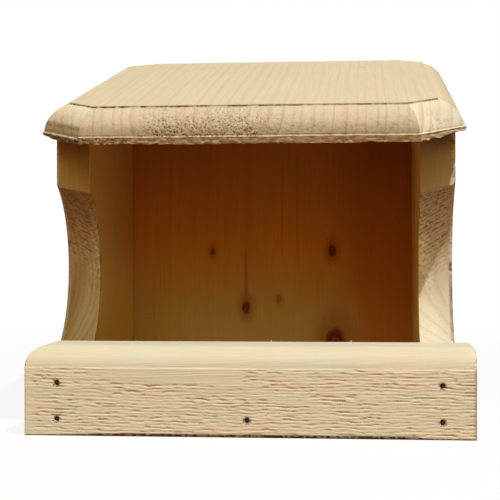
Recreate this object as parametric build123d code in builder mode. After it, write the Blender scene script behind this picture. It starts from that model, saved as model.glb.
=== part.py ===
from build123d import *
import os

# Open-fronted nest box of pine boards, nailed together: two scalloped sides, with a floor
# and a back board between them, a thick rail across the foot of the front, and a sloping
# roof board with clipped corners and a moulded edge.
# Millimetres. X runs across, Y from the front (-Y) to the rear, Z up. The origin is on the
# ground, in the middle of the rectangle that the two sides stand on.

# Boards
board_thickness = 19.0
inside_width = 184.0
side_depth = 184.0
front_height = 163.0
roof_slope = 14.5
back_recess = 35.0

# Scallop in the front edge of each side, cut at a tilt so that it rises towards the
# outside, and the eased arris along the outer front corner
scallop_radius = 50.8
scallop_depth = 27.0
scallop_height = 86.5
scallop_tilt = 10.4
arris_ease = 1.6

# Front rail
rail_thickness = 38.0
rail_height = 47.5
rail_overhang = 8.0
rail_round = 11.0

# Roof board, with its moulded edge from the lip at the bottom to the step at the top
roof_thickness = 19.0
eave_overhang = 5.0
front_overhang = 36.0
rear_overhang = 12.0
corner_clip = 25.4
lip_height = 4.3
lip_ledge = 1.3
mould_foot = 5.4
mould_inset = 15.0
mould_radius = 17.0
top_step = 1.2
cutter_spare = 2.0

# Round nails through the rail, set below its face
rail_nail_shank = 0.8
rail_nail_head = 1.4
rail_nail_length = 60.0
rail_nail_head_height = 1.6
rail_nail_point = 3.0
rail_nail_set = 2.0

# Brads of square wire in the other boards, with T heads and chisel points
brad_wire = 1.2
brad_head = 2.0
brad_length = 38.0
brad_head_height = 1.0
brad_point = 2.0
brad_set = 1.0

# Room that the wood leaves them
nail_clearance = 0.05
point_clearance = 1.0

# Where the nails are driven, in from the edges of the boards
rail_nail_low = 9.0
rail_nail_rise = 19.0
floor_nail_front = 42.0
floor_nail_rear = 24.0
back_nail_low = 42.0
back_nail_top = 26.0
roof_nail_front = 22.0
roof_nail_rear = 20.0
roof_nail_side = 6.0
roof_nail_back = 32.0

# Faces and middles that the pieces share
front_y = -side_depth / 2
rear_y = side_depth / 2
inner_x = inside_width / 2
outer_x = inner_x + board_thickness
side_middle_x = inner_x + board_thickness / 2
back_rear_y = rear_y - back_recess
back_front_y = back_rear_y - board_thickness
back_middle_y = back_rear_y - board_thickness / 2
rail_front_y = front_y - rail_thickness

# The roof's underside lies on this plane, which rises to the rear from the sides' front
# edges: its x runs across, its y up the slope and its z out through the roof.
roof_plane = Plane(origin=(0, front_y, front_height)).rotated((roof_slope, 0, 0))
up_slope = roof_plane.y_dir
slope_length = side_depth / up_slope.Y
rear_height = front_height + slope_length * up_slope.Z


def height_under_roof(y):
    """Height of the roof's underside at a distance y from the middle."""
    return front_height + (y - front_y) * up_slope.Z / up_slope.Y


def make_rail_nail():
    """A nail pointing down -Z from the rail's face at Z = 0, with its head set below it."""
    head_top = -rail_nail_set
    head_bottom = head_top - rail_nail_head_height
    tip = head_top - rail_nail_length
    with BuildPart() as nail:
        with BuildSketch(Plane.XZ):
            with BuildLine():
                Polyline(
                    (0, head_top),
                    (rail_nail_head, head_top),
                    (rail_nail_head, head_bottom),
                    (rail_nail_shank, head_bottom),
                    (rail_nail_shank, tip + rail_nail_point),
                    (0, tip),
                    close=True,
                )
            make_face()
        revolve(axis=Axis.Z)
    return nail.part


def make_brad(head_top, clearance=0.0, tip_room=0.0):
    """A brad pointing down -Z from a board's face at Z = 0, or the slot that it leaves."""
    shank = brad_wire / 2 + clearance
    head = brad_head / 2 + clearance
    head_bottom = -brad_set - brad_head_height - clearance
    tip = -brad_set - brad_length - tip_room
    with BuildPart() as brad:
        with BuildSketch(Plane.XZ):
            with BuildLine():
                half_outline = Polyline(
                    (0, head_top),
                    (head, head_top),
                    (head, head_bottom),
                    (shank, head_bottom),
                    (shank, tip + brad_point),
                    (0, tip),
                )
                mirror(half_outline, about=Plane.YZ)
            make_face()
        extrude(amount=shank, both=True)
    return brad.part


def cut_brad_slots(places):
    """Slots for brads, through the outer board and on into the board behind."""
    with Locations(*places):
        add(brad_slot, mode=Mode.SUBTRACT)


def driven(points, outward):
    """Places for nails at points on a board's face, each with its Z out of the wood."""
    return [Plane(origin=point, z_dir=outward).location for point in points]


one_rail_nail = make_rail_nail()
one_brad = make_brad(head_top=-brad_set)
brad_slot = make_brad(head_top=brad_set, clearance=nail_clearance, tip_room=point_clearance)
rail_shank_hole = rail_nail_shank + nail_clearance
rail_hole_depth = rail_nail_set + rail_nail_length + point_clearance

# Each group of nails as places on the face that they are driven into
rail_nails_at = driven(
    [
        (x, rail_front_y, z)
        for x in (-side_middle_x, side_middle_x)
        for z in (rail_nail_low, rail_nail_low + rail_nail_rise)
    ]
    + [(0, rail_front_y, rail_nail_low)],
    (0, -1, 0),
)

floor_nail_ys = (front_y + floor_nail_front, back_front_y - floor_nail_rear)
back_nail_high = height_under_roof(back_front_y) - back_nail_top
back_nail_zs = (back_nail_low, (back_nail_low + back_nail_high) / 2, back_nail_high)
side_nails_at = {}
for hand, direction in (("left", -1), ("right", 1)):
    side_nails_at[hand] = driven(
        [(direction * outer_x, y, board_thickness / 2) for y in floor_nail_ys]
        + [(direction * outer_x, back_middle_y, z) for z in back_nail_zs],
        (direction, 0, 0),
    )

roof_nail_x = inner_x + roof_nail_side
roof_nail_vs = (
    roof_nail_front,
    (roof_nail_front + slope_length - roof_nail_rear) / 2,
    slope_length - roof_nail_rear,
)
back_nail_v = (back_middle_y - front_y) / up_slope.Y
roof_nail_places = [(x, v) for x in (-roof_nail_x, roof_nail_x) for v in roof_nail_vs]
roof_nail_places += [(x, back_nail_v) for x in (roof_nail_back - inner_x, inner_x - roof_nail_back)]
roof_nails_at = driven(
    [roof_plane.from_local_coords((x, v, roof_thickness)) for x, v in roof_nail_places],
    roof_plane.z_dir,
)

os.makedirs("parts", exist_ok=True)

# Sides: the profile in the YZ plane with its sloping top, then the tilted scallop, whose
# arris is eased with the rest of the outer front corner
for hand, direction in (("left", -1), ("right", 1)):
    scallop_plane = Plane(
        origin=(direction * side_middle_x, front_y + scallop_depth - scallop_radius, scallop_height),
        z_dir=Vector(direction, 0, 0).rotate(Axis.Y, -direction * scallop_tilt),
    )
    with BuildPart() as side:
        with BuildSketch(Plane.YZ.offset(direction * inner_x)):
            with BuildLine():
                Polyline(
                    (front_y, 0),
                    (rear_y, 0),
                    (rear_y, rear_height),
                    (front_y, front_height),
                    close=True,
                )
            make_face()
        extrude(amount=direction * board_thickness)
        with BuildSketch(scallop_plane):
            Circle(scallop_radius)
        extrude(amount=board_thickness + scallop_radius, both=True, mode=Mode.SUBTRACT)
        outer_face = side.faces().sort_by(Axis.X)[0 if direction < 0 else -1]
        chamfer(outer_face.edges().sort_by(Axis.Y)[:3], length=arris_ease)
        cut_brad_slots(side_nails_at[hand] + roof_nails_at)
        with Locations(*rail_nails_at):
            Hole(rail_shank_hole, depth=rail_hole_depth)
    side.part.label = f"side_{hand}"
    export_step(side.part, f"parts/side_{hand}.step")

# Back board: between the sides, its top edge bevelled to the roof
with BuildPart() as back_board:
    with BuildSketch(Plane.YZ):
        with BuildLine():
            Polyline(
                (back_front_y, 0),
                (back_rear_y, 0),
                (back_rear_y, height_under_roof(back_rear_y)),
                (back_front_y, height_under_roof(back_front_y)),
                close=True,
            )
        make_face()
    extrude(amount=inner_x, both=True)
    cut_brad_slots(side_nails_at["left"] + side_nails_at["right"] + roof_nails_at)
back_board.part.label = "back_board"
export_step(back_board.part, "parts/back_board.step")

# Floor board: between the sides, from the rail to the back board
with BuildPart() as floor_board:
    with BuildSketch(Plane.XY):
        with Locations((0, (front_y + back_front_y) / 2)):
            Rectangle(inside_width, back_front_y - front_y)
    extrude(amount=board_thickness)
    cut_brad_slots(side_nails_at["left"] + side_nails_at["right"])
    with Locations(*rail_nails_at):
        Hole(rail_shank_hole, depth=rail_hole_depth)
floor_board.part.label = "floor_board"
export_step(floor_board.part, "parts/floor_board.step")

# Front rail: rounded over along the front of its top and round both ends, with its rear
# top edge left square against the sides
with BuildPart() as front_rail:
    with BuildSketch(Plane.XY):
        with Locations((0, front_y - rail_thickness / 2)):
            Rectangle(2 * (outer_x + rail_overhang), rail_thickness)
    extrude(amount=rail_height)
    top_edges = front_rail.faces().sort_by(Axis.Z)[-1].edges().sort_by(Axis.Y)
    fillet(top_edges[:-1], radius=rail_round)
    with Locations(*rail_nails_at):
        CounterBoreHole(
            radius=rail_shank_hole,
            counter_bore_radius=rail_nail_head + nail_clearance,
            counter_bore_depth=rail_nail_set + rail_nail_head_height,
            depth=rail_hole_depth,
        )
front_rail.part.label = "front_rail"
export_step(front_rail.part, "parts/front_rail.step")

# Roof board: a rectangle with clipped corners, then one straight pass of the moulding
# cutter along each of its eight edges, so that the passes meet in mitres at the corners
roof_width = 2 * (outer_x + eave_overhang)
roof_length = front_overhang + slope_length + rear_overhang
mould_top = roof_thickness - top_step

with BuildPart() as roof_board:
    with BuildSketch(roof_plane) as roof_outline:
        with Locations((0, (slope_length + rear_overhang - front_overhang) / 2)):
            Rectangle(roof_width, roof_length)
        chamfer(roof_outline.vertices(), length=corner_clip)
    extrude(amount=roof_thickness)
    roof_middle = roof_outline.sketch.face().center()
    for edge in roof_outline.sketch.edges():
        outward = (edge % 0.5).cross(roof_plane.z_dir)
        if outward.dot(edge @ 0.5 - roof_middle) < 0:
            outward = -outward
        cutter_plane = Plane(
            origin=edge @ 0.5,
            x_dir=outward,
            z_dir=outward.cross(roof_plane.z_dir),
        )
        with BuildSketch(cutter_plane):
            with BuildLine():
                Polyline(
                    (-mould_inset, mould_top),
                    (-mould_inset, roof_thickness + cutter_spare),
                    (cutter_spare, roof_thickness + cutter_spare),
                    (cutter_spare, lip_height),
                    (-lip_ledge, lip_height),
                    (-lip_ledge, mould_foot),
                )
                RadiusArc((-lip_ledge, mould_foot), (-mould_inset, mould_top), -mould_radius)
            make_face()
        extrude(amount=edge.length / 2 + mould_inset, both=True, mode=Mode.SUBTRACT)
    cut_brad_slots(roof_nails_at)
roof_board.part.label = "roof_board"
export_step(roof_board.part, "parts/roof_board.step")

# Nails: the same nail at every place of its group
nail_groups = {
    "rail_nails": (one_rail_nail, rail_nails_at),
    "left_side_nails": (one_brad, side_nails_at["left"]),
    "right_side_nails": (one_brad, side_nails_at["right"]),
    "roof_nails": (one_brad, roof_nails_at),
}
for name, (one_nail, places) in nail_groups.items():
    with BuildPart() as nails:
        with Locations(*places):
            add(one_nail)
    nails.part.label = name
    export_step(nails.part, f"parts/{name}.step")
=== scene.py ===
import bpy
import bmesh
import math
from mathutils import Matrix, Vector, noise


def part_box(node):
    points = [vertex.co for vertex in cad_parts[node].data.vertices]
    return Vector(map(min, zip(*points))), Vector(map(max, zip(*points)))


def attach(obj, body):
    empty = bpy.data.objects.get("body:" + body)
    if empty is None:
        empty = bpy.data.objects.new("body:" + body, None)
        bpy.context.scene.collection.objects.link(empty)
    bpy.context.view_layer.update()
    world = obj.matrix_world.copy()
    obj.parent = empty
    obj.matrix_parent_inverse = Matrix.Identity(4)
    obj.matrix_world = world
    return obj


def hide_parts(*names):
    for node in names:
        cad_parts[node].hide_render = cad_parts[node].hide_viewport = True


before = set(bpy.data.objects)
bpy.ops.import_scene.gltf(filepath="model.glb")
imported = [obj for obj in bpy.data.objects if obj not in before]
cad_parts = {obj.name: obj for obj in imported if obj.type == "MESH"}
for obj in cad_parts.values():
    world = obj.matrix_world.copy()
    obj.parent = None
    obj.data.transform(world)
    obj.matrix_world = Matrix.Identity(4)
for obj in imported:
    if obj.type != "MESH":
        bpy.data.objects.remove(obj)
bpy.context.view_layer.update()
print("frame loaded")

mm = 0.001
rightAngle = 0.5 * math.pi
acrossX, alongY, upZ = (1.0, 0.0, 0.0), (0.0, 1.0, 0.0), (0.0, 0.0, 1.0)

# where the boards stand, in millimetres, read from the frame
sideLow, sideHigh = (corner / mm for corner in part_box("side_right"))
railLow, railHigh = (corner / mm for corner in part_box("front_rail"))
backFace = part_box("back_board")[0].y / mm
frontY = sideLow.y
sideMiddle = (sideLow.x + sideHigh.x) / 2
sideHalf = (sideHigh.x - sideLow.x) / 2


# helpers that shape a board's mesh

def chance(*cell):
    # the same random share, 0 to 1, each time for the same cell
    mixed = sum(part * weight for part, weight in zip(cell, (127.1, 311.7, 74.7)))
    value = math.sin(mixed) * 43758.5453
    return value - math.floor(value)


def ease(low, high, value):
    share = min(max((value - low) / (high - low), 0.0), 1.0)
    return share * share * (3.0 - 2.0 * share)


def wave(seed, *place):
    # smooth noise, -1 to 1, of a place that is already scaled
    x, y, z = (*place, 0.0, 0.0)[:3]
    return noise.noise(Vector((x + 17.3 * seed, y - 9.1 * seed, z + 4.7 * seed)))


def tornRows(along, across, pitch, dash, seed):
    # rows of broken fibres: each dash is deepest at its top and comes back to the face below
    row = math.floor(across / pitch)
    lift = across / pitch - row
    run = along / dash + 9.0 * chance(row, seed)
    run += 0.3 * math.sin(2.3 * run + row)
    cell = math.floor(run)
    part = run - cell
    lens = (4.0 * part * (1.0 - part)) ** 0.5
    top = 0.99 - 0.22 * chance(row, cell, seed) - 0.3 * (1.0 - lens)
    if lift > top:
        return 0.0
    strength = 0.45 + 0.55 * chance(cell, row, seed + 2)
    return strength * lens * (lift / top) ** 1.5


def startBoard(node, edgeRound, shortest):
    # a welded copy of the board in millimetres, with its long arrises rounded a little
    board = bmesh.new()
    board.from_mesh(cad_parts[node].data)
    bmesh.ops.scale(board, vec=Vector((1 / mm, 1 / mm, 1 / mm)), verts=board.verts)
    bmesh.ops.remove_doubles(board, verts=board.verts, dist=0.001)
    bmesh.ops.dissolve_limit(board, angle_limit=math.radians(0.3), verts=board.verts,
                             edges=board.edges)
    arrises = [edge for edge in board.edges if len(edge.link_faces) == 2
               and edge.calc_length() > shortest and edge.calc_face_angle(0.0) > math.radians(50)]
    bmesh.ops.bevel(board, geom=arrises, offset=edgeRound, offset_type="OFFSET", segments=2,
                    profile=0.5, affect="EDGES", clamp_overlap=True)
    return board


def markFaces(board, choose):
    for face in board.faces:
        face.material_index = choose(face.calc_center_median(), face.normal)


def cutMarked(board, mark, direction, start, stop, step=1.0):
    # even cuts across the faces that carry one mark
    direction = Vector(direction)
    for i in range(int((stop - start) / step) + 1):
        marked = [face for face in board.faces if face.material_index == mark]
        parts = set(marked)
        for face in marked:
            parts.update(face.edges)
            parts.update(face.verts)
        bmesh.ops.bisect_plane(board, geom=list(parts), dist=0.0001,
                               plane_co=direction * (start + i * step), plane_no=direction)


def cutOnce(board, mark, direction, place):
    cutMarked(board, mark, direction, place, place)


def shapeBoard(board, relief, place=Matrix.Identity(4)):
    # relief() takes a point and the way out of the wood there, in the board's own lie, and gives
    # the point's new place, how torn the fibres are, and how much darker it is painted, below 0 for
    # paler: real stains and rubbing, and painted shade and painted light
    torn = board.verts.layers.float.new("torn")
    stainAndPaintedShading = board.verts.layers.float.new("stainAndPaintedShading")
    board.normal_update()
    back = place.inverted()
    turnBack = back.to_3x3()
    moved = []
    for vert in board.verts:
        point, vert[torn], vert[stainAndPaintedShading] = relief(back @ vert.co, turnBack @ vert.normal)
        moved.append((vert, place @ point))
    for vert, point in moved:
        vert.co = point


def finishBoard(board, name, node, material):
    bmesh.ops.triangulate(board, faces=[face for face in board.faces if len(face.verts) > 4])
    for face in board.faces:
        face.material_index = 0
        face.smooth = True
    bmesh.ops.scale(board, vec=Vector((mm, mm, mm)), verts=board.verts)
    mesh = bpy.data.meshes.new(name)
    board.to_mesh(mesh)
    board.free()
    mesh.set_sharp_from_angle(angle=math.radians(40.0))
    mesh.materials.append(material)
    piece = bpy.data.objects.new(name, mesh)
    bpy.context.scene.collection.objects.link(piece)
    evened = piece.modifiers.new("evenShading", "WEIGHTED_NORMAL")
    evened.keep_sharp = True
    evened.weight = 80
    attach(piece, "root")
    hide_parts(node)
    print("made", name, len(mesh.vertices), "points")


# helpers that wire a material

def put(tree, kind, inputs=None, **settings):
    node = tree.nodes.new(kind)
    for name, value in settings.items():
        setattr(node, name, value)
    for name, value in (inputs or {}).items():
        join(tree, node.inputs[name], value)
    return node


def join(tree, socket, value):
    if isinstance(value, bpy.types.NodeSocket):
        tree.links.new(value, socket)
    elif isinstance(value, tuple) and len(value) == 3 and socket.type == "RGBA":
        socket.default_value = (*value, 1.0)
    else:
        socket.default_value = value


def calc(tree, operation, *values, clamp=False):
    inputs = {i: value for i, value in enumerate(values)}
    return put(tree, "ShaderNodeMath", inputs, operation=operation, use_clamp=clamp).outputs[0]


def vectorCalc(tree, operation, *values):
    # a scale's factor goes to the fourth socket
    inputs = {3 if operation == "SCALE" and i == 1 else i: value for i, value in enumerate(values)}
    node = put(tree, "ShaderNodeVectorMath", inputs, operation=operation)
    return node.outputs[1 if operation in {"LENGTH", "DOT_PRODUCT"} else 0]


def fade(tree, value, low, high, fromValue=0.0, toValue=1.0):
    inputs = {"Value": value, "From Min": low, "From Max": high,
              "To Min": fromValue, "To Max": toValue}
    ramp = put(tree, "ShaderNodeMapRange", inputs, interpolation_type="SMOOTHSTEP")
    return ramp.outputs["Result"]


def cloudy(tree, vector, scales, detail=2.0, roughness=0.5):
    scaled = vectorCalc(tree, "MULTIPLY", vector, scales)
    inputs = {"Vector": scaled, "Scale": 1.0, "Detail": detail, "Roughness": roughness}
    return put(tree, "ShaderNodeTexNoise", inputs).outputs["Fac"]


def mixColour(tree, factor, first, second, how="MIX"):
    inputs = {0: factor, 6: first, 7: second}
    return put(tree, "ShaderNodeMix", inputs, data_type="RGBA", blend_type=how).outputs[2]


def multiplyColour(tree, first, second):
    return mixColour(tree, 1.0, first, second, "MULTIPLY")


def aboutHalf(tree, value, amount, base):
    # adds a wander of that amount to base, from noise whose middle is a half
    return calc(tree, "MULTIPLY_ADD", calc(tree, "SUBTRACT", value, 0.5), amount, base)


def newGroup(name, inputs, outputs):
    group = bpy.data.node_groups.new(name, "ShaderNodeTree")
    for socketName, kind, default in inputs:
        kind = "NodeSocket" + kind
        socket = group.interface.new_socket(socketName, in_out="INPUT", socket_type=kind)
        if default is not None:
            socket.default_value = default
    for socketName, kind in outputs:
        kind = "NodeSocket" + kind
        group.interface.new_socket(socketName, in_out="OUTPUT", socket_type=kind)
    given = group.nodes.new("NodeGroupInput").outputs
    out = group.nodes.new("NodeGroupOutput").inputs
    return group, given, out


def giveOut(group, out, values):
    for name, value in values.items():
        group.links.new(value, out[name])
    return group


def useGroup(tree, group, inputs):
    return put(tree, "ShaderNodeGroup", inputs, node_tree=group).outputs


# effects of the wood that every board shares

def makeGrowthRings():
    # year rings round a pith along Z: Ring is the dark late wood, Fibre its fine streaks and
    # Cloud its slow changes
    group, given, out = newGroup(
        "growthRings",
        [("Vector", "Vector", None), ("Ring Width", "Float", 0.005), ("Wander", "Float", 0.004),
         ("Sharpness", "Float", 0.5)],
        [("Ring", "Float"), ("Fibre", "Float"), ("Cloud", "Float")])
    point = given["Vector"]
    flat = vectorCalc(group, "MULTIPLY", point, (1.0, 1.0, 0.0))
    radius = vectorCalc(group, "LENGTH", flat)
    drift = cloudy(group, point, (16.0, 16.0, 3.0), 1.0)
    wobble = cloudy(group, point, (120.0, 120.0, 11.0), 2.0, 0.55)
    radius = aboutHalf(group, drift, given["Wander"], radius)
    radius = aboutHalf(group, wobble, 1.4 * mm, radius)
    turns = calc(group, "DIVIDE", radius, given["Ring Width"])
    yearLine = put(group, "ShaderNodeCombineXYZ", {"X": turns}).outputs[0]
    uneven = cloudy(group, yearLine, (0.6, 1.0, 1.0), 1.0)
    turns = calc(group, "MULTIPLY_ADD", uneven, 1.4, turns)
    part = calc(group, "FRACT", turns)
    slowRise = fade(group, part, given["Sharpness"], 0.92)
    quickFall = fade(group, part, 0.92, 1.0, 1.0, 0.0)
    late = calc(group, "MULTIPLY", slowRise, quickFall)
    year = cloudy(group, yearLine, (1.3, 1.0, 1.0), 0.0)
    ring = calc(group, "MULTIPLY", late, fade(group, year, 0.3, 0.7, 0.35, 1.0))
    fibre = cloudy(group, point, (1700.0, 1700.0, 28.0), 2.0, 0.6)
    cloud = cloudy(group, point, (24.0, 24.0, 6.0), 3.0)
    return giveOut(group, out, {"Ring": ring, "Fibre": fibre, "Cloud": cloud})


def makeKnotSpot():
    # a knot through a board: Push bends the grain round it, Core is its own wood, Halo the dark
    # grain about it and Turn its own rings
    group, given, out = newGroup(
        "knotSpot",
        [("Vector", "Vector", None), ("Centre", "Vector", (0.0, 0.0, 0.0)),
         ("Across", "Vector", (1.0, 0.0, 1.0)), ("Radius", "Float", 0.003), ("Reach", "Float", 0.02)],
        [("Push", "Vector"), ("Core", "Float"), ("Halo", "Float"), ("Turn", "Float")])
    ragged = cloudy(group, given["Vector"], (260.0, 260.0, 200.0), 2.0)
    away = vectorCalc(group, "SUBTRACT", given["Vector"], given["Centre"])
    away = vectorCalc(group, "MULTIPLY", away, given["Across"])
    distance = aboutHalf(group, ragged, 1.2 * mm, vectorCalc(group, "LENGTH", away))
    near = calc(group, "DIVIDE", distance, given["Reach"])
    nearSquared = calc(group, "MULTIPLY", near, near)
    fall = calc(group, "POWER", 2.718, calc(group, "MULTIPLY", nearSquared, -2.2))
    sideways = vectorCalc(group, "MULTIPLY", away, (1.0, 1.0, 0.0))
    padded = calc(group, "ADD", distance, calc(group, "MULTIPLY", given["Radius"], 0.4))
    amount = calc(group, "MULTIPLY", fall, calc(group, "DIVIDE", given["Radius"], padded))
    push = vectorCalc(group, "SCALE", sideways, calc(group, "MULTIPLY", amount, -1.5))
    share = calc(group, "DIVIDE", distance, given["Radius"])
    core = fade(group, share, 0.75, 1.1, 1.0, 0.0)
    halo = fade(group, share, 0.8, 3.0, 1.0, 0.0)
    turn = calc(group, "SINE", calc(group, "MULTIPLY", share, 14.0))
    return giveOut(group, out, {"Push": push, "Core": core, "Halo": halo, "Turn": turn})


def makeTornFibres():
    # fuzzy broken fibres where a cutter has torn the grain: Shade darkens, Height roughens
    group, given, out = newGroup(
        "tornFibres",
        [("Vector", "Vector", None), ("Amount", "Float", 0.0), ("Coarse", "Float", 900.0)],
        [("Shade", "Float"), ("Height", "Float")])
    point = vectorCalc(group, "SCALE", given["Vector"], given["Coarse"])
    speck = cloudy(group, point, (1.0, 1.0, 1.0), 3.0, 0.65)
    deep = fade(group, speck, 0.42, 0.62, 1.0, 0.0)
    shade = calc(group, "MULTIPLY", deep, given["Amount"])
    height = calc(group, "MULTIPLY", speck, given["Amount"])
    return giveOut(group, out, {"Shade": shade, "Height": height})


def makeCutterChatter():
    # faint ripples that a planer or a router leaves square to its travel
    group, given, out = newGroup(
        "cutterChatter",
        [("Vector", "Vector", None), ("Travel", "Vector", acrossX), ("Pitch", "Float", 0.0013)],
        [("Ripple", "Float")])
    wander = cloudy(group, given["Vector"], (60.0, 60.0, 60.0), 1.0)
    run = vectorCalc(group, "DOT_PRODUCT", given["Vector"], given["Travel"])
    run = calc(group, "MULTIPLY_ADD", wander, 3.0, calc(group, "DIVIDE", run, given["Pitch"]))
    ripple = calc(group, "SINE", calc(group, "MULTIPLY", run, 2.0 * math.pi))
    ripple = calc(group, "MULTIPLY_ADD", ripple, 0.5, 0.5)
    patchy = fade(group, cloudy(group, given["Vector"], (45.0, 45.0, 45.0), 1.0), 0.35, 0.7)
    return giveOut(group, out, {"Ripple": calc(group, "MULTIPLY", ripple, patchy)})


growthRings = makeGrowthRings()
knotSpot = makeKnotSpot()
tornFibres = makeTornFibres()
cutterChatter = makeCutterChatter()
print("made the wood effects")

# what a board's wood has unless it says otherwise
plainWood = dict(
    knots=(),                   # place, radius, reach and darkness of each
    tints=(),                   # axis, where it starts and is full, unevenness, amount and colour
    streaks=(),                 # place across, from and to up the board, width and darkness
    flatRings=None,             # ring strength on faces that look up, if it differs
    coarse=900.0, tornShade=0.6, gapPower=2.2, paintedGapShade=0.0,
    paler=(1.42, 1.55, 1.74), stainAndPaintedShading=(0.06, 0.03, 0.012), chatterUp=False)


def grainPlace(tree, place, along, pith):
    # turns the wood so that its pith runs along Z through the middle
    turn = Vector(along).normalized().rotation_difference(Vector(upZ))
    shift = -(turn @ (Vector(pith) * mm))
    inputs = {"Vector": place, "Location": shift, "Rotation": turn.to_euler()}
    return put(tree, "ShaderNodeMapping", inputs, vector_type="POINT").outputs[0]


def bendRoundKnots(tree, place, knots):
    bent, core, halo = place, 0.0, 0.0
    for x, y, z, radius, reach, depth in knots:
        spot = useGroup(tree, knotSpot, {"Vector": place, "Centre": (x * mm, y * mm, z * mm),
                                         "Across": (1.0, 0.0, 0.62), "Radius": radius * mm,
                                         "Reach": reach * mm})
        bent = vectorCalc(tree, "ADD", bent, spot["Push"])
        ringed = calc(tree, "MULTIPLY_ADD", spot["Turn"], 0.12, 0.88)
        coreHere = calc(tree, "MULTIPLY", calc(tree, "MULTIPLY", spot["Core"], ringed), depth)
        core = calc(tree, "MAXIMUM", core, coreHere)
        halo = calc(tree, "MAXIMUM", halo, calc(tree, "MULTIPLY", spot["Halo"], depth))
    return bent, core, halo


def ringColour(tree, wood, grain, up):
    strength = wood["ringStrength"]
    if wood["flatRings"] is not None:
        strength = fade(tree, up, 0.75, 0.96, strength, wood["flatRings"])
    ring = calc(tree, "MULTIPLY", grain["Ring"], strength)
    colour = mixColour(tree, ring, wood["early"], wood["late"])
    clouded = fade(tree, grain["Cloud"], 0.32, 0.68, 0.0, 0.5)
    return mixColour(tree, clouded, colour, wood["cloud"])


def tintColour(tree, wood, grain, bent, colour):
    # broad tints across the board, then long dark streaks up it
    where = put(tree, "ShaderNodeSeparateXYZ", {"Vector": bent}).outputs
    for axis, start, full, uneven, amount, tint in wood["tints"]:
        across = aboutHalf(tree, grain["Cloud"], uneven * mm, where[axis])
        ends = (start * mm, full * mm, 0.0, amount)
        if start > full:
            ends = (full * mm, start * mm, amount, 0.0)
        colour = mixColour(tree, fade(tree, across, *ends), colour, tint)
    for x, low, high, width, depth in wood["streaks"]:
        across = aboutHalf(tree, grain["Cloud"], 4.0 * mm, where["X"])
        off = calc(tree, "ABSOLUTE", calc(tree, "SUBTRACT", across, x * mm))
        line = fade(tree, off, 0.0, width * mm, depth, 0.0)
        fadeIn = fade(tree, where["Z"], low * mm, (low + 12.0) * mm)
        fadeOut = fade(tree, where["Z"], (high - 12.0) * mm, high * mm, 1.0, 0.0)
        line = calc(tree, "MULTIPLY", calc(tree, "MULTIPLY", line, fadeIn), fadeOut)
        colour = mixColour(tree, line, colour, wood["late"])
    return colour


def fibreColour(tree, wood, grain, laid, colour):
    # slow changes of hue, and fine fibres along the grain
    hue = cloudy(tree, laid, (70.0, 70.0, 24.0), 2.0)
    warmer = multiplyColour(tree, colour, (1.03, 0.99, 0.96))
    cooler = multiplyColour(tree, colour, (0.97, 1.0, 0.99))
    colour = mixColour(tree, fade(tree, hue, 0.3, 0.7), warmer, cooler)
    darkest, palest = 1.0 - wood["streak"], 1.0 + 0.6 * wood["streak"]
    light = fade(tree, grain["Fibre"], 0.28, 0.72, darkest, palest)
    grey = put(tree, "ShaderNodeCombineColor", {0: light, 1: light, 2: light}).outputs[0]
    return multiplyColour(tree, colour, grey)


def wornAndShadedColour(tree, wood, place, torn, fibres, colour):
    # dark gaps between the torn fibres with painted shade in them, then wood made paler or darker:
    # real rubbing and stains, and painted light and painted shade
    stainAndPaintedShading = put(tree, "ShaderNodeAttribute", attribute_name="stainAndPaintedShading").outputs["Fac"]
    shade = calc(tree, "MULTIPLY", fibres["Shade"], wood["tornShade"])
    # painted shade, deepest in the gaps of the torn rows
    gap = calc(tree, "POWER", torn, wood["gapPower"])
    shade = calc(tree, "MULTIPLY_ADD", gap, wood["paintedGapShade"], shade, clamp=True)
    colour = mixColour(tree, shade, colour, wood["torn"])
    rubbedAndPaintedLight = calc(tree, "MULTIPLY", stainAndPaintedShading, -1.0, clamp=True)
    colour = mixColour(tree, rubbedAndPaintedLight, colour, multiplyColour(tree, colour, wood["paler"]))
    broken = fade(tree, cloudy(tree, place, (500.0, 500.0, 500.0), 2.0), 0.35, 0.6)
    broken = fade(tree, broken, 0.0, 1.0, 0.65, 1.0)
    stainedAndShaded = calc(tree, "MULTIPLY", stainAndPaintedShading, broken, clamp=True)
    return mixColour(tree, stainedAndShaded, colour, wood["stainAndPaintedShading"])


def newMaterial(name):
    material = bpy.data.materials.new(name)
    material.use_nodes = True
    material.node_tree.nodes.clear()
    return material, material.node_tree


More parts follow.
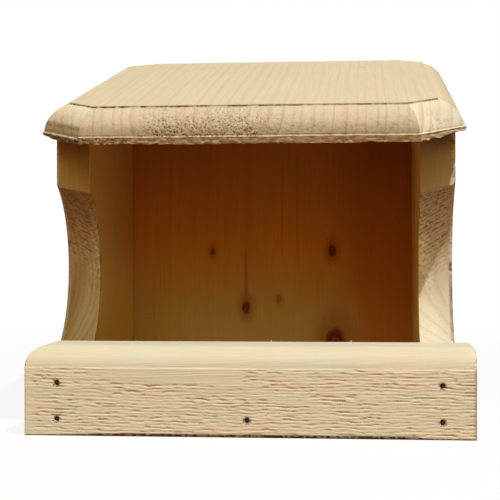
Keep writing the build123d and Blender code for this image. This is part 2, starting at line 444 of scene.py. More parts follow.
def pineMaterial(name, wood):
    wood = {**plainWood, **wood}
    material, tree = newMaterial(name)
    place = put(tree, "ShaderNodeTexCoord").outputs["Object"]
    facing = put(tree, "ShaderNodeNewGeometry").outputs["Normal"]
    up = put(tree, "ShaderNodeSeparateXYZ", {"Vector": facing}).outputs["Z"]
    torn = put(tree, "ShaderNodeAttribute", attribute_name="torn").outputs["Fac"]
    bent, core, halo = bendRoundKnots(tree, place, wood["knots"])
    laid = grainPlace(tree, bent, wood["along"], wood["pith"])
    grain = useGroup(tree, growthRings, {
        "Vector": laid, "Ring Width": wood["ringWidth"] * mm, "Wander": wood["wander"] * mm,
        "Sharpness": wood["sharpness"]})
    fibres = useGroup(tree, tornFibres, {
        "Vector": place, "Amount": torn, "Coarse": wood["coarse"]})
    ripple = useGroup(tree, cutterChatter, {
        "Vector": place, "Travel": Vector(wood["travel"]).normalized(),
        "Pitch": wood["pitch"] * mm})["Ripple"]
    if wood["chatterUp"]:
        ripple = calc(tree, "MULTIPLY", ripple, fade(tree, up, 0.1, 0.3))

    colour = ringColour(tree, wood, grain, up)
    colour = tintColour(tree, wood, grain, bent, colour)
    colour = fibreColour(tree, wood, grain, laid, colour)
    if wood["knots"]:
        colour = mixColour(tree, calc(tree, "MULTIPLY", halo, 0.6), colour, wood["halo"])
        colour = mixColour(tree, core, colour, wood["knot"])
    colour = wornAndShadedColour(tree, wood, place, torn, fibres, colour)

    height = calc(tree, "MULTIPLY_ADD", grain["Ring"], 0.4, grain["Fibre"])
    height = calc(tree, "MULTIPLY_ADD", ripple, 0.25, height)
    height = calc(tree, "MULTIPLY_ADD", fibres["Height"], 2.2, height)
    bump = put(tree, "ShaderNodeBump", {"Height": height, "Strength": 0.6, "Distance": 0.22 * mm})
    rough = fade(tree, grain["Ring"], 0.0, 1.0, 0.74, 0.6)
    rough = calc(tree, "MULTIPLY_ADD", torn, 0.15, rough, clamp=True)
    shader = put(tree, "ShaderNodeBsdfPrincipled", {
        "Base Color": colour, "Roughness": rough, "Normal": bump.outputs[0],
        "Specular IOR Level": 0.05})
    put(tree, "ShaderNodeOutputMaterial", {"Surface": shader.outputs[0]})
    return material


# roof board: x runs across, v up the slope from the sides' front edges, w out through the board

roof = dict(
    slope=14.5, underside=163.0, front=-36.0, rear=202.05, halfWidth=116.0, clip=25.4, thick=19.0,
    lip=4.3, ledge=1.3, foot=5.4, inset=15.0, mouldRadius=17.0, step=1.2,
    edgeRound=0.3, cut=0.62,
    tornFrom=(-64.0, -48.0), tornTo=(36.0, 56.0), tornDepth=0.5,      # end grain torn in the middle
    leftTip=11.0, rightTip=24.0, tipRise=2.0)                         # tips rounded from below
slope = math.radians(roof["slope"])
roofTilt = Matrix.Rotation(slope, 4, "X")
roofPlace = Matrix.Translation((0.0, frontY, roof["underside"])) @ roofTilt
mouldTop = roof["thick"] - roof["step"]

# the middle of the moulding's round, as inset and height
mouldRun, mouldRise = roof["inset"] - roof["ledge"], mouldTop - roof["foot"]
mouldChord = math.hypot(mouldRun, mouldRise)
mouldDrop = math.sqrt(roof["mouldRadius"] ** 2 - mouldChord ** 2 / 4) / mouldChord
mouldIn = (roof["inset"] + roof["ledge"]) / 2 + mouldDrop * mouldRise
mouldUp = (mouldTop + roof["foot"]) / 2 - mouldDrop * mouldRun


def roofInsets(x, v):
    # how far in from each edge of the clipped outline, nearest first, with the way out
    hand, half = math.copysign(1.0, x), math.sqrt(0.5)
    toEave, toFront, toRear = roof["halfWidth"] - abs(x), v - roof["front"], roof["rear"] - v
    edges = [(toEave, (hand, 0.0)), (toFront, (0.0, -1.0)), (toRear, (0.0, 1.0)),
             ((toEave + toFront - roof["clip"]) * half, (hand * half, -half)),
             ((toEave + toRear - roof["clip"]) * half, (hand * half, half))]
    return sorted(edges, key=lambda edge: edge[0])


def shiftInset(point, insets, amount):
    # moves a point square to its nearest edge, or along the mitre where two are as near
    (near, (outX, outV)), (second, (nextX, nextV)) = insets[:2]
    if second - near < 0.02:
        share = amount / (1.0 + outX * nextX + outV * nextV)
        return Vector((point.x - (outX + nextX) * share, point.y - (outV + nextV) * share, point.z))
    return Vector((point.x - outX * amount, point.y - outV * amount, point.z))


def onMoulding(point, insets):
    # puts a point of the moulding's faceted round on its true circle
    inset, w = insets[0][0], point.z
    reach = math.hypot(inset - mouldIn, w - mouldUp)
    beside = roof["ledge"] - 0.1 < inset < roof["inset"] + 0.1
    if beside and abs(reach - roof["mouldRadius"]) < 0.06:
        scale = roof["mouldRadius"] / reach
        point = shiftInset(point, insets, mouldIn + (inset - mouldIn) * scale - inset)
        point.z = mouldUp + (w - mouldUp) * scale
    return point


def mouldingWearAndShading(x, v, w, run, front, frontClip):
    # the end grain is torn along the middle of the front, and finely everywhere
    endGrain = front * ease(*roof["tornFrom"], x) * (1.0 - ease(*roof["tornTo"], x))
    endGrain *= 1.0 - 0.7 * ease(0.0, 20.0, x)
    low = ease(17.0, 11.0, w)
    pits = ease(0.0, 0.28, wave(1, x / 0.85, w / 0.9, v / 0.9))
    lumps = 0.5 + 0.5 * wave(2, x / 4.0, w / 4.0, 0.0)
    fine = front * ease(0.15, 0.5, wave(5, run / 1.4, w / 1.6, 2.0))
    torn = endGrain * (0.5 + 0.5 * low) * pits
    depth = roof["tornDepth"] * torn + 0.1 * endGrain * low * lumps + 0.1 * fine
    torn = max(torn, 0.45 * fine * ease(18.0, 9.0, w))
    if not frontClip:
        return depth, torn, 0.07 + 0.2 * ease(12.0, 7.0, w)
    # painted light: the right corner, which faces the lamp, is made paler, most towards its foot
    if x > 0:
        return depth, torn, -0.3 - 0.55 * ease(15.0, 6.0, w)
    # painted light and shade: the left corner is made paler, and a dark band at its foot is painted
    # shade
    paintedFootShade = ease(10.6, 8.8, w) * (1.0 - 0.45 * ease(7.8, 6.8, w))
    return depth, torn, (0.88 + 0.25 * wave(12, run / 2.2, w / 1.0)) * paintedFootShade - 0.36


def lipWearAndShading(x, w, run, front, frontClip, stainAndPaintedShading):
    # the lip's face is broken and its lower edge ragged
    top = roof["lip"]
    lumps = ease(-0.15, 0.5, wave(3, run / 3.6, w / 2.2))
    shreds = ease(-0.1, 0.4, wave(4, run / 1.5, w / 0.9))
    start = top - (1.1 if frontClip and x < 0 else 0.0)
    cover = ease(start, start - 0.8, w) * (0.35 + 0.65 * front)
    pits = ease(0.0, 0.3, wave(13, x / 0.9, w / 0.8)) * ease(top, top - 0.7, w)
    pitted = front * ease(-60.0, -66.0, x) * pits
    rougher = 1.0 + 0.8 * front * ease(-62.0, -70.0, x)
    depth = cover * rougher * (0.38 * lumps + 0.16 * shreds) + 0.35 * pitted
    torn = max(cover * (0.15 + 0.45 * shreds), 0.95 * pitted)
    if frontClip and x < 0:
        # the upper edge of the left corner is worn round; its lip face is painted darker as painted
        # shade, and the rounded edge paler as a painted highlight
        rounded = min(max((w - top + 1.6) / 1.6, 0.0), 1.0)
        depth += rounded ** 2
        stainAndPaintedShading = 0.75 * cover - 0.6 * ease(0.1, 0.4, rounded)
    # painted light: the lip of the right corner is made paler
    elif frontClip:
        stainAndPaintedShading = -0.5 * cover
    ragged = ease(1.6, 0.0, w) * (0.4 + 0.6 * front)
    bites = 0.75 * ease(-0.2, 0.5, wave(6, run / 2.6)) + 0.3 * ease(0.0, 0.4, wave(7, run / 0.9))
    return depth, torn, stainAndPaintedShading, ragged * bites


def stepWearAndShade(x, v, w, run, outV):
    # the step round the flat is chipped and dark: partly marks of the cutter, partly painted shade,
    # darker on the left and along the front, away from the lamp
    patch = ease(-0.35, 0.25, wave(8, run / 6.0) + 0.5 * wave(9, run / 1.3))
    shown = 0.8 if x < 0 else 0.3
    if outV < -0.5:
        shown = 0.95 - 0.35 * ease(-10.0, 30.0, x)
    shown *= ease(6.0, -4.0, v) * patch
    return 0.15 * shown, shown * ease(roof["thick"] - 0.1, roof["thick"] - 0.45, w)


def roofRelief(point, outward):
    insets = roofInsets(point.x, point.y)
    inset, (outX, outV) = insets[0]
    x, w = point.x, point.z
    run = x if outV < -0.5 else point.y + 3.0 * x     # distance along the edge
    front = ease(0.3, 0.7, -outV)
    frontClip = abs(outX) > 0.5 and outV < -0.5
    point = onMoulding(point, insets)
    v = point.y
    depth = torn = stainAndPaintedShading = rise = 0.0
    if inset < roof["inset"] - 0.2 and w > roof["lip"] - 0.1 and outward.z > -0.5:
        depth, torn, stainAndPaintedShading = mouldingWearAndShading(x, v, w, run, front, frontClip)
        if abs(outX) > 0.9:
            stainAndPaintedShading = 0.0
    if w < roof["lip"] + 0.1 and inset < 1.0:
        lipDepth, lipTorn, stainAndPaintedShading, rise = lipWearAndShading(x, w, run, front, frontClip, stainAndPaintedShading)
        depth += lipDepth
        torn = max(torn, lipTorn)
    if abs(inset - roof["inset"]) < 0.45 and w > mouldTop - 0.05 and v < 20.0:
        stepDepth, stainAndPaintedShading = stepWearAndShade(x, v, w, run, outV)
        depth += stepDepth
    # the tips beside the front are rounded off from below
    fromTip = math.hypot(abs(x) - roof["halfWidth"], v - roof["front"] - roof["clip"])
    tip = ease(roof["leftTip"] if x < 0 else roof["rightTip"], 0.0, fromTip) * ease(3.8, 0.2, w)
    stray = 0.035 * (1.0 + wave(11, x / 14.0, v / 40.0, w / 5.0))
    point = point - outward * ((depth + stray) * (1.0 - 0.8 * tip))
    point.z += rise + roof["tipRise"] * tip
    return point, torn, stainAndPaintedShading


frontEdge, otherEdge, flatTop, underneath = 1, 2, 3, 4
roofBack = roofPlace.inverted()
roofBoard = startBoard("roof_board", roof["edgeRound"], 3.0)


def markRoof(centre, outward):
    lie = roofBack @ centre
    inset = roofInsets(lie.x, lie.y)[0][0]
    way = (roofBack.to_3x3() @ outward).z
    if way < -0.9:
        return underneath
    if way > 0.999 and inset > roof["inset"] - 0.1:
        return flatTop
    return frontEdge if lie.y < -6.0 else otherEdge


markFaces(roofBoard, markRoof)
upSlope, outSlope = roofTilt.to_3x3() @ Vector(alongY), roofTilt.to_3x3() @ Vector(upZ)
rootV, rootW = upSlope.dot(roofPlace.translation), outSlope.dot(roofPlace.translation)


def cutMargin(mark, margin):
    # a narrow margin keeps the shading of the step or the lip off a flat face
    for hand in (-1, 1):
        cutOnce(roofBoard, mark, acrossX, hand * (roof["halfWidth"] - margin))
        for way, edge in ((-1, roof["front"]), (1, roof["rear"])):
            slanted = (Vector((hand, 0.0, 0.0)) + way * upSlope) / math.sqrt(2.0)
            corner = roof["halfWidth"] + way * (edge + rootV) - roof["clip"]
            cutOnce(roofBoard, mark, slanted, corner / math.sqrt(2.0) - margin)
    for edge in (roof["front"] + margin, roof["rear"] - margin):
        cutOnce(roofBoard, mark, upSlope, rootV + edge)


eaveX = roof["halfWidth"]
for mark, margin in ((flatTop, roof["inset"] + 0.7), (underneath, 0.7)):
    cutMargin(mark, margin)
    cutMarked(roofBoard, mark, acrossX, 4.0 - eaveX, eaveX - 4.0, 8.0)
    cutMarked(roofBoard, mark, upSlope, rootV + roof["front"] + 6.0, rootV + roof["rear"], 8.0)
cutMarked(roofBoard, frontEdge, acrossX, 0.3 - eaveX, eaveX - 0.3, roof["cut"])
cutMarked(roofBoard, frontEdge, outSlope, rootW + 0.6, rootW + roof["thick"] - 0.4, 0.5)
cutMarked(roofBoard, otherEdge, upSlope, rootV - 6.0, rootV + roof["rear"], 3.0)
cutMarked(roofBoard, otherEdge, acrossX, 4.0 - eaveX, eaveX - 4.0, 4.0)
shapeBoard(roofBoard, roofRelief, roofPlace)
roofWood = dict(
    along=(0.0, math.cos(slope), math.sin(slope)), pith=roofPlace @ Vector((-5.0, 0.0, 18.0)),
    ringWidth=5.6, wander=5.0, sharpness=0.45, ringStrength=0.74, flatRings=0.55, streak=0.05,
    early=(0.69, 0.62, 0.48), late=(0.50, 0.38, 0.22), cloud=(0.64, 0.55, 0.39),
    tints=[(1, -119.0, -116.0, 0.0, 0.4, (0.575, 0.505, 0.365))],
    torn=(0.29, 0.205, 0.10), tornShade=0.9, paintedGapShade=0.4, coarse=1300.0,
    stainAndPaintedShading=(0.11, 0.055, 0.016), travel=(0.0, 1.0, 0.26), pitch=2.2)
finishBoard(roofBoard, "roofBoard", "roof_board", pineMaterial("roofPine", roofWood))


# front rail

rail = dict(
    edgeRound=0.4, roundover=11.0, rightEnd=1.8, ledge=0.2, nailHeights=(9.0, 28.0),
    rowPitch=1.75, dash=6.5, relief=0.62, cutAcross=0.42, cutAlong=1.1,
    planed=((-72.0, 29.5), (-3.0, 26.0)),     # left and right end of the edge of a skimmed patch
    splinters=(10.0, 54.0))
roundZ = railHigh.z - rail["roundover"]
roundY = railLow.y + rail["roundover"]
roundX = railHigh.x - rail["roundover"]
railNailPlaces = [(hand * sideMiddle, z) for hand in (-1, 1) for z in rail["nailHeights"]]
railNailPlaces.append((0.0, rail["nailHeights"][0]))


def onRoundover(point):
    # puts a point of the faceted roundover, along the front and both ends, on its true circle
    x, z = point.x, point.z
    middleX = math.copysign(roundX, x)
    for axis, middle, off in ((1, roundY, roundY - point.y), (0, middleX, abs(x) - roundX)):
        reach = math.hypot(off, z - roundZ)
        if off > 0.0 and abs(reach - rail["roundover"]) < 0.05:
            scale = rail["roundover"] / reach
            point[axis] = middle + (point[axis] - middle) * scale
            point.z = roundZ + (z - roundZ) * scale
            break
    if x > roundX and abs(math.hypot(x - roundX, z - roundZ) - rail["roundover"]) < 0.1:
        squareUp(point, math.atan2(z - roundZ, x - roundX) / rightAngle)
    return point


def squareUp(point, share):
    # the right end is only eased: the same share of the way round, on a smaller circle
    small = rail["rightEnd"]
    flat = rail["roundover"] - small
    way = share * (2.0 * flat + rightAngle * small)
    turn = min(max((way - flat) / small, 0.0), rightAngle)
    point.x = roundX + flat + small * math.cos(turn) - max(way - flat - rightAngle * small, 0.0)
    point.z = roundZ + min(way, flat) + small * math.sin(turn)
    if point.y < roundY - 0.1:
        rest = rail["roundover"] ** 2 - (point.z - roundZ) ** 2
        point.y = roundY - math.sqrt(max(rest, 0.0))


def skimmed(x, z):
    # the patch that the plane has reached, above a slanting edge
    (leftX, leftZ), (rightX, rightZ) = rail["planed"]
    share = (x - leftX) / (rightX - leftX)
    foot = leftZ + (rightZ - leftZ) * share + 0.5 * wave(23, x / 9.0)
    return ease(foot - 0.5, foot + 0.7, z) * ease(-0.16, 0.05, share) * ease(1.02, 0.99, share)


def sawnFace(x, z):
    # rows of torn fibres, nail rims and a painted shadow along the lower edge, on a face painted
    # paler as painted light, as depth, torn and darkness
    rough = 1.0 - skimmed(x, z)
    drift = 0.7 * wave(24, x / 22.0, z / 14.0) + 0.8 * wave(25, x / 7.0, z / 3.0)
    drift += 0.35 * wave(30, x / 3.0, z / 1.5)
    tilt = 0.02 * (x + 60.0) if x < -20 else 0.8
    torn = tornRows(x, z + drift + tilt, rail["rowPitch"], rail["dash"], 3)
    torn *= rough * (0.65 + 0.35 * ease(-0.45, 0.35, wave(26, x / 20.0, z / 5.0)))
    torn *= ease(railLow.x + 1.0, railLow.x + 7.0, x)
    torn *= ease(0.2, 1.2, z) * ease(roundZ, roundZ - 0.7, z)
    fuzz = 0.05 * ease(0.0, 0.5, wave(27, x / 2.2, z / 0.7)) * rough
    stainAndPaintedShading = 0.0
    for nailX, nailZ in railNailPlaces:
        away = math.hypot(x - nailX, z - nailZ) + 0.25 * wave(29, x / 0.9, z / 0.9, 2.0)
        rim = ease(2.9, 1.5, away) * (0.5 + 0.5 * wave(28, x / 0.8, z / 0.8, 1.0))
        fuzz += 0.4 * rim
        stainAndPaintedShading = max(stainAndPaintedShading, 0.9 * ease(2.15, 1.75, away))
    # painted shadow where it stands on the ground, dark at the right end, and a ledge under the
    # roundover
    foot = 0.5 + 1.2 * ease(railLow.x, -60.0, x) * (1.0 - 0.8 * ease(82.0, 98.0, x))
    stainAndPaintedShading = max(stainAndPaintedShading, ease(foot + 0.25, foot - 0.15, z))
    stainAndPaintedShading = max(stainAndPaintedShading, 0.55 * ease(railHigh.x - 0.7, railHigh.x - 0.3, x))
    fuzz += rail["ledge"] * ease(roundZ - 0.5, roundZ - 0.1, z)
    # painted light: the sawn face is made paler than the top, and paler still just under the
    # roundover as a painted highlight
    if stainAndPaintedShading < 0.02:
        stainAndPaintedShading = -0.84 - 0.16 * ease(roundZ - 0.7, roundZ - 0.2, z)
    return rail["relief"] * torn + fuzz + 0.01, min(torn, 1.0), stainAndPaintedShading


def railRelief(point, outward):
    x, z = point.x, point.z
    if z > roundZ + 0.05:
        point = onRoundover(point)
        ripple = 0.03 * (1.0 + wave(21, x / 30.0, point.y / 8.0, z / 8.0))
        ripple += rail["ledge"] * ease(roundZ + 7.0, roundZ, z)
        # painted light: the roundover is made paler as it turns down towards the front
        return point - outward * ripple, 0.0, -0.58 * ease(railHigh.z - 1.5, roundZ + 1.0, z)
    if outward.y > -0.8:
        stray = 0.02 * (1.0 + wave(22, x / 20.0, point.y / 6.0, z / 6.0))
        return point - outward * stray, 0.15, 0.0
    depth, torn, stainAndPaintedShading = sawnFace(x, z)
    return point - outward * depth, torn, stainAndPaintedShading


sawnMark, roundMark = 1, 2


def markRail(centre, outward):
    if outward.y < -0.99 and centre.z < roundZ + 0.1:
        return sawnMark
    return roundMark if outward.z > 0.05 else 0


frontRail = startBoard("front_rail", rail["edgeRound"], 1.2)
markFaces(frontRail, markRail)
cutMarked(frontRail, sawnMark, acrossX, railLow.x + 0.8, railHigh.x - 0.8, rail["cutAlong"])
cutMarked(frontRail, sawnMark, upZ, 0.6, roundZ - 0.1, rail["cutAcross"])
cutMarked(frontRail, roundMark, acrossX, railLow.x + 2.0, railHigh.x - 2.0, 5.0)
cutMarked(frontRail, roundMark, alongY, railLow.y + 13.0, railHigh.y - 2.0, 4.0)
for x in rail["splinters"]:
    foot = Matrix.Translation((x, railHigh.y - 0.7, railHigh.z + 0.4))
    lean = foot @ Matrix.Rotation(math.radians(25.0), 4, "Y")
    bmesh.ops.create_cone(frontRail, segments=5, radius1=0.55, radius2=0.08, depth=2.0, matrix=lean)
shapeBoard(frontRail, railRelief)
railWood = dict(
    along=(1.0, 0.02, 0.035), pith=(0.0, -70.0, -14.0), ringWidth=4.2, wander=9.0, sharpness=0.3,
    ringStrength=0.24, streak=0.05, early=(0.745, 0.71, 0.575), late=(0.60, 0.51, 0.35),
    cloud=(0.72, 0.67, 0.53), paler=(1.38, 1.47, 1.57), torn=(0.27, 0.245, 0.16), tornShade=0.15,
    paintedGapShade=0.95, gapPower=3.8, coarse=800.0, travel=acrossX, pitch=1.3, chatterUp=True)
finishBoard(frontRail, "frontRail", "front_rail", pineMaterial("railPine", railWood))


# sides: hand is -1 on the left and 1 on the right

scallop = dict(radius=50.8, depth=27.0, height=86.5, tilt=10.4, rowPitch=2.1, dash=6.5, slant=24.0,
               relief=0.95)
arris = dict(eased=1.6, round=0.3)
chips = {                # height, length, depth and darkness of the chips along the outer arris
    "right": [(157.0, 3.0, 0.4, 0.9), (140.0, 9.0, 0.15, 0.5), (131.0, 5.0, 0.2, 0.5),
              (88.0, 5.5, 0.6, 1.0), (65.0, 40.0, 0.05, 0.6)],
    "left": [(102.0, 3.5, 0.5, 0.9), (96.0, 7.0, 0.15, 0.4)],
}
sideWoods = {
    "right": dict(
        pith=(51.5, -142.0, 0.0), ringWidth=3.6, ringStrength=0.5, early=(0.71, 0.67, 0.535),
        late=(0.51, 0.41, 0.24), cloud=(0.64, 0.56, 0.41), torn=(0.30, 0.18, 0.07), paintedGapShade=1.35),
    # painted shade: the left board's colours are darker and more orange than the right's
    "left": dict(
        pith=(-20.0, -114.0, 0.0), ringWidth=2.9, ringStrength=0.62, early=(0.545, 0.43, 0.24),
        late=(0.28, 0.175, 0.06), cloud=(0.47, 0.35, 0.175), torn=(0.32, 0.155, 0.035), paintedGapShade=1.6,
        stainAndPaintedShading=(0.16, 0.08, 0.02), paler=(1.25, 1.55, 2.4)),
}
# painted shade: the front edges tinted darker, the left one darker and more orange
frontShadeTints = {"right": (0.56, 0.52, 0.38), "left": (0.49, 0.325, 0.105)}
# painted shade: the inner faces tinted orange
insideShadeTint = (0.90, 0.60, 0.18)


def scallopWearAndShading(hand, along, arc):
    # along runs out through the board and arc up round the scallop
    slant = math.radians(scallop["slant"])
    inner = ease(6.0, -9.0, along)
    rough = ease(-14.0 - 14.0 * inner, 22.0, arc) * ease(56.0, 50.0, arc)
    across = arc * math.cos(slant) - along * math.sin(slant)
    across += 0.9 * wave(31 + hand, along / 7.0, arc / 9.0)
    run = along * math.cos(slant) + arc * math.sin(slant)
    rows = tornRows(run, across, scallop["rowPitch"], scallop["dash"], 11 + hand)
    lumps = ease(-0.1, 0.5, wave(33 + hand, along / 2.2, arc / 2.6))
    shallow = 0.35 + 0.65 * ease(8.0, 30.0, arc)
    # pale fuzz along the inner arris, and pale long fibres below it
    fuzz = ease(1.0, -6.0, along) * ease(-0.25, 0.3, wave(34 + hand, along / 1.3, arc / 1.5))
    torn = rough * min(0.1 + 1.05 * rows, 1.0) * (1.0 - 0.75 * fuzz)
    stainAndPaintedShading = -0.95 * fuzz * rough - 0.33 * ease(2.0, -8.0, along) * ease(-6.0, -26.0, arc)
    # painted light on the upper part of the right scallop, which lies in shade; painted shade on the
    # lower outer part of the left one
    if hand > 0:
        stainAndPaintedShading -= 0.32 * ease(-10.0, 10.0, arc)
    else:
        stainAndPaintedShading += 0.45 * ease(-7.0, 5.0, along) * ease(12.0, -16.0, arc) - 0.1 * rough
    depth = rough * shallow * (scallop["relief"] * rows + 0.16 * lumps + 0.25 * fuzz)
    depth += 0.05 * (1.0 + wave(35 + hand, along / 3.0, arc / 18.0))
    return depth, torn, stainAndPaintedShading


def arrisWearAndHighlight(hand, label, x, z, outerEdge, stainAndPaintedShading):
    # the eased outer arris is painted pale as painted light, with dark chips and specks
    depth = 0.0
    if outerEdge > 0.5:
        stainAndPaintedShading = min(stainAndPaintedShading, -0.7 * outerEdge)
    for height, length, chipDepth, dark in chips[label]:
        share = abs(z - height) / (0.5 * length)
        cut = ease(1.15, 0.6, share + 0.45 * wave(37, z / 1.0, x / 0.6)) * outerEdge
        depth += chipDepth * cut
        brown = dark * cut
        if length < 20.0:
            brown *= ease(0.4 - 0.9 * dark, 0.9 - 0.9 * dark, wave(36, z / 1.5, x / 0.5))
        if brown > 0.1:
            stainAndPaintedShading = max(stainAndPaintedShading, brown)
    speck = 0.4 * outerEdge * ease(0.2, 0.5, wave(38 + hand, z / 2.4, x / 0.7))
    if speck > 0.1:
        stainAndPaintedShading = max(stainAndPaintedShading, speck)
    return depth, stainAndPaintedShading


def makeSideRelief(hand, label):
    middle = Vector((hand * sideMiddle, frontY + scallop["depth"] - scallop["radius"],
                     scallop["height"]))
    tilt = math.radians(scallop["tilt"])
    axis = Vector((hand * math.cos(tilt), 0.0, math.sin(tilt)))
    rise = Vector((-hand * math.sin(tilt), 0.0, math.cos(tilt)))
    easedFrom = sideHalf - arris["eased"]
    underRoofShade = 0.45 if hand > 0 else 0.12

    def relief(point, outward):
        along = (point - middle).dot(axis)
        radial = point - middle - axis * along
        depth = torn = stainAndPaintedShading = 0.0
        if abs(radial.length - scallop["radius"]) < 0.06 and point.y > frontY + 0.1:
            # on the scallop's true circle
            point = middle + axis * along + radial * (scallop["radius"] / radial.length)
            arc = math.atan2(radial.dot(rise), radial.y) * scallop["radius"]
            depth, torn, stainAndPaintedShading = scallopWearAndShading(hand, along, arc)
        elif outward.y < -0.5 and point.z > 132.0:
            # painted shade close under the roof, darker on the right
            uneven = 3.0 * wave(42 + hand, point.x / 9.0, point.z / 9.0)
            stainAndPaintedShading = underRoofShade * ease(148.0, 161.0, point.z + uneven)
        elif hand < 0 and outward.x > 0.9:
            # painted light: the left inner face is made paler low down
            stainAndPaintedShading = -0.8 * ease(118.0, 65.0, point.z)     # the inner face is paler low down
        outerEdge = ease(easedFrom - 0.4, easedFrom + 0.2, hand * point.x - sideMiddle)
        if outerEdge > 0.0 and outward.y < -0.3:
            torn *= 1.0 - outerEdge
            chipped, stainAndPaintedShading = arrisWearAndHighlight(hand, label, point.x, point.z, outerEdge, stainAndPaintedShading)
            depth += chipped
        flat = 0.02 * (1.0 + wave(39 + hand, point.x / 4.0, point.y / 20.0, point.z / 30.0))
        # the broad faces stay flat, so nothing is taken off square to them
        shift = outward * (depth + flat)
        shift.x *= ease(0.9, 0.6, abs(outward.x))
        return point - shift, torn, stainAndPaintedShading

    return relief


scallopMark, arrisMark, frontMark, broadMark = 1, 2, 3, 4
for hand, label in ((-1, "left"), (1, "right")):
    side = startBoard("side_" + label, arris["round"], 3.0)
    low, high = sorted((hand * sideLow.x, hand * sideHigh.x))

    def markSide(centre, outward):
        if abs(outward.x) > 0.95:
            return broadMark
        if outward.y > -0.3:
            return 0
        if centre.y > frontY + 0.3 and abs(outward.x) < 0.4:
            return scallopMark
        return arrisMark if outward.x * hand > 0.3 else frontMark

    markFaces(side, markSide)
    for mark, across, up in ((scallopMark, 0.8, 0.62), (arrisMark, 3.0, 0.8), (frontMark, 2.5, 2.0)):
        cutMarked(side, mark, upZ, 1.0, 162.0, up)
        cutMarked(side, mark, acrossX, low + 0.7, high - 0.4, across)
    cutMarked(side, broadMark, upZ, 2.0, 210.0, 8.0)
    cutMarked(side, broadMark, alongY, sideLow.y + 2.0, sideHigh.y - 1.0, 8.0)
    shapeBoard(side, makeSideRelief(hand, label))
    insideX = hand * sideLow.x
    sideWood = dict(
        along=(0.01 * hand, 0.015, 1.0), wander=6.0, sharpness=0.35, streak=0.07, tornShade=0.3,
        gapPower=1.3, travel=(0.0, 0.2, 1.0), pitch=1.8, **sideWoods[label],
        tints=[(1, frontY + 1.0, frontY + 0.2, 0.0, 0.85, frontShadeTints[label]),
               (0, insideX + 0.3 * hand, insideX + 0.08 * hand, 0.0, 0.92, insideShadeTint)])
    finishBoard(side, label + "Side", "side_" + label,
                pineMaterial(label + "SidePine", sideWood))


# back and floor boards

def plainRelief(point, outward):
    stray = 0.03 * (1.0 + wave(41, point.x / 12.0, point.y / 12.0, point.z / 40.0))
    return point - outward * stray, 0.0, 0.0


def plainBoard(name, node, direction, start, stop, wood):
    board = startBoard(node, 0.3, 3.0)
    markFaces(board, lambda centre, outward: 1)
    cutMarked(board, 1, direction, start, stop, 10.0)
    shapeBoard(board, plainRelief)
    finishBoard(board, name, node, pineMaterial(name.replace("Board", "Pine"), wood))


# painted shade: the back board's colours are a strong orange-brown; painted light: paler and yellower
# towards the bottom
backWood = dict(
    along=(0.006, 0.0, 1.0), pith=(16.0, 92.0, 0.0), ringWidth=7.0, wander=10.0, sharpness=0.1,
    ringStrength=0.2, streak=0.06, early=(0.74, 0.34, 0.064), late=(0.46, 0.16, 0.022),
    cloud=(0.66, 0.27, 0.048), torn=(0.2, 0.1, 0.03), travel=upZ, pitch=2.6,
    tints=[(2, 112.0, 48.0, 40.0, 0.85, (0.61, 0.51, 0.27)),
           (0, 28.0, 70.0, 30.0, 0.85, (0.49, 0.17, 0.018))],
    streaks=[(-16.5, 60.0, 102.0, 1.6, 0.7), (7.5, 85.0, 165.0, 1.4, 0.26),
             (12.0, 92.0, 172.0, 1.2, 0.2), (17.5, 80.0, 168.0, 1.6, 0.3),
             (22.5, 95.0, 175.0, 1.2, 0.16), (58.0, 60.0, 180.0, 2.4, 0.2)],
    knot=(0.13, 0.024, 0.005), halo=(0.32, 0.10, 0.016),
    knots=[(-38.5, backFace, 96.5, 1.7, 12.0, 0.8), (-16.5, backFace, 59.5, 2.8, 16.0, 0.95),
           (40.3, backFace, 97.0, 2.7, 16.0, 1.0), (5.0, backFace, 65.0, 1.8, 12.0, 0.4),
           (42.3, backFace, 35.6, 7.0, 30.0, 0.95)])
plainBoard("backBoard", "back_board", upZ, 6.0, 196.0, backWood)

floorWood = dict(
    along=(1.0, 0.01, 0.0), pith=(0.0, -20.0, -30.0), ringWidth=5.0, wander=8.0, sharpness=0.35,
    ringStrength=0.45, streak=0.08, early=(0.62, 0.40, 0.17), late=(0.40, 0.21, 0.07),
    cloud=(0.54, 0.33, 0.13), torn=(0.3, 0.17, 0.06), travel=acrossX, pitch=2.4)
plainBoard("floorBoard", "floor_board", acrossX, -90.0, 90.0, floorWood)


# nails

nail = dict(steel=(0.045, 0.035, 0.03), rust=(0.05, 0.02, 0.01), softEdge=0.12)


def nailMaterial():
    material, tree = newMaterial("nailSteel")
    place = put(tree, "ShaderNodeTexCoord").outputs["Object"]
    rust = fade(tree, cloudy(tree, place, (900.0, 900.0, 900.0), 3.0, 0.6), 0.42, 0.62)
    colour = mixColour(tree, rust, nail["steel"], nail["rust"])
    rough = fade(tree, rust, 0.0, 1.0, 0.5, 0.85)
    metal = fade(tree, rust, 0.0, 1.0, 0.6, 0.1)
    bump = put(tree, "ShaderNodeBump", {"Height": rust, "Strength": 0.5, "Distance": 0.1 * mm})
    shader = put(tree, "ShaderNodeBsdfPrincipled", {
        "Base Color": colour, "Roughness": rough, "Metallic": metal, "Normal": bump.outputs[0]})
    put(tree, "ShaderNodeOutputMaterial", {"Surface": shader.outputs[0]})
    return material


nailSteel = nailMaterial()
for node in ("rail_nails", "left_side_nails", "right_side_nails", "roof_nails"):
    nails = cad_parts[node]
    nails.data.materials.clear()
    nails.data.materials.append(nailSteel)
    softened = nails.modifiers.new("softEdges", "BEVEL")
    softened.width = nail["softEdge"] * mm
    softened.segments = 2
    softened.limit_method = "ANGLE"
print("finished the nails")


# floor, lamps and camera

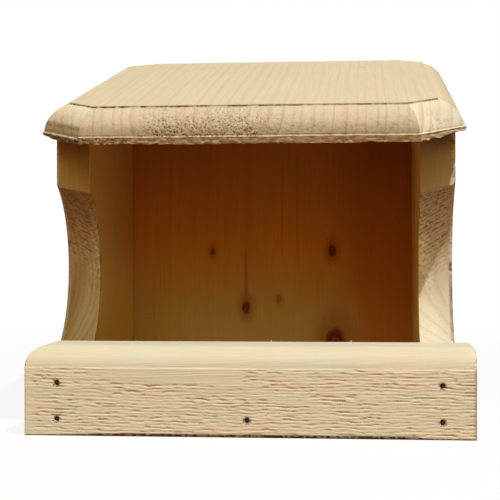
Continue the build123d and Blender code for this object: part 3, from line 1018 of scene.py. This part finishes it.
white = (1.0, 1.0, 1.0)
studio = dict(
    distance=2.4, ambient=0.243, ambientColour=(1.0, 0.77, 0.22),
    floorReach=4.0, floorWhite=0.88, floorPale=(0.9, 0.9, 0.9), floorBounce=(0.14, 0.03, 0.01))
lamps = {                # degrees to the right of the front and up, size, level and colour
    "keyLamp": (41.0, 62.5, 0.08, 0.785, white),
    "softFill": (-14.0, 40.0, 1.3, 0.195, (1.0, 0.97, 0.92)),
    "lowGlow": (0.0, 18.0, 1.5, 0.135, (1.0, 0.52, 0.10)),
}


def seenByCamera(tree):
    # straight, or in something shiny or clear
    path = put(tree, "ShaderNodeLightPath").outputs
    seen = calc(tree, "MAXIMUM", path["Is Camera Ray"], path["Is Glossy Ray"])
    return calc(tree, "MAXIMUM", seen, path["Is Transmission Ray"])


def mixShaders(tree, factor, first, second):
    return put(tree, "ShaderNodeMixShader", {0: factor, 1: first, 2: second}).outputs[0]


def makeFloor():
    # pale with the object's shadow near it, and white further off
    material, tree = newMaterial("paleFloor")
    bounce = put(tree, "ShaderNodeBsdfDiffuse", {"Color": studio["floorBounce"]}).outputs[0]
    pale = put(tree, "ShaderNodeBsdfDiffuse", {"Color": studio["floorPale"]}).outputs[0]
    glow = put(tree, "ShaderNodeEmission", {"Color": white, "Strength": 1.0}).outputs[0]
    away = vectorCalc(tree, "LENGTH", put(tree, "ShaderNodeTexCoord").outputs["Object"])
    seen = mixShaders(tree, studio["floorWhite"], pale, glow)
    seen = mixShaders(tree, fade(tree, away, 0.3, 0.8), seen, glow)
    whole = mixShaders(tree, seenByCamera(tree), bounce, seen)
    put(tree, "ShaderNodeOutputMaterial", {"Surface": whole})
    reach = studio["floorReach"]
    corners = [(-reach, -reach, 0), (reach, -reach, 0), (reach, reach, 0), (-reach, reach, 0)]
    mesh = bpy.data.meshes.new("paleFloor")
    mesh.from_pydata(corners, [], [(0, 1, 2, 3)])
    mesh.materials.append(material)
    paleFloor = bpy.data.objects.new("paleFloor", mesh)
    bpy.context.scene.collection.objects.link(paleFloor)


def makeWorld():
    world = bpy.data.worlds.new("studio")
    bpy.context.scene.world = world
    world.use_nodes = True
    tree = world.node_tree
    tree.nodes.clear()
    soft = {"Color": studio["ambientColour"], "Strength": studio["ambient"]}
    dim = put(tree, "ShaderNodeBackground", soft).outputs[0]
    bright = put(tree, "ShaderNodeBackground", {"Color": white, "Strength": 1.0}).outputs[0]
    whole = mixShaders(tree, seenByCamera(tree), dim, bright)
    put(tree, "ShaderNodeOutputWorld", {"Surface": whole})


def makeLamp(name, turn, height, size, level, colour):
    # level is how brightly the lamp alone lights a white board that faces it
    distance = studio["distance"]
    lamp = bpy.data.lights.new(name, "AREA")
    lamp.shape = "DISK"
    lamp.size = size
    lamp.energy = level * (math.pi * distance) ** 2
    lamp.color = colour
    lampObject = bpy.data.objects.new(name, lamp)
    turn, height = math.radians(turn), math.radians(height)
    out = math.cos(height)
    way = Vector((math.sin(turn) * out, -math.cos(turn) * out, math.sin(height)))
    lampObject.location = way * distance + Vector((0.0, -0.05, 0.1))
    lampObject.rotation_euler = (-way).to_track_quat("-Z", "Y").to_euler()
    bpy.context.scene.collection.objects.link(lampObject)


makeFloor()
makeWorld()
for name, settings in lamps.items():
    makeLamp(name, *settings)
print("made the floor and the lamps")

# the camera's place is measured from the middle of the sides' front edges, in millimetres
view = dict(place=(61.39, -676.43, 101.75), turn=5.33, down=0.30, roll=-0.134, lens=88.31)
camera = bpy.data.cameras.new("camera")
camera.lens = view["lens"]
camera.sensor_width = 36.0
camera.clip_end = 50.0
cameraObject = bpy.data.objects.new("camera", camera)
cameraPlace = (Vector(view["place"]) + Vector((0.0, frontY, 0.0))) * mm
cameraObject.matrix_world = (Matrix.Translation(cameraPlace)
                             @ Matrix.Rotation(math.radians(view["turn"]), 4, "Z")
                             @ Matrix.Rotation(math.radians(90.0 - view["down"]), 4, "X")
                             @ Matrix.Rotation(math.radians(view["roll"]), 4, "Z"))
bpy.context.scene.collection.objects.link(cameraObject)
bpy.context.scene.camera = cameraObject
bpy.context.scene.view_settings.view_transform = "Standard"
print("placed the camera")
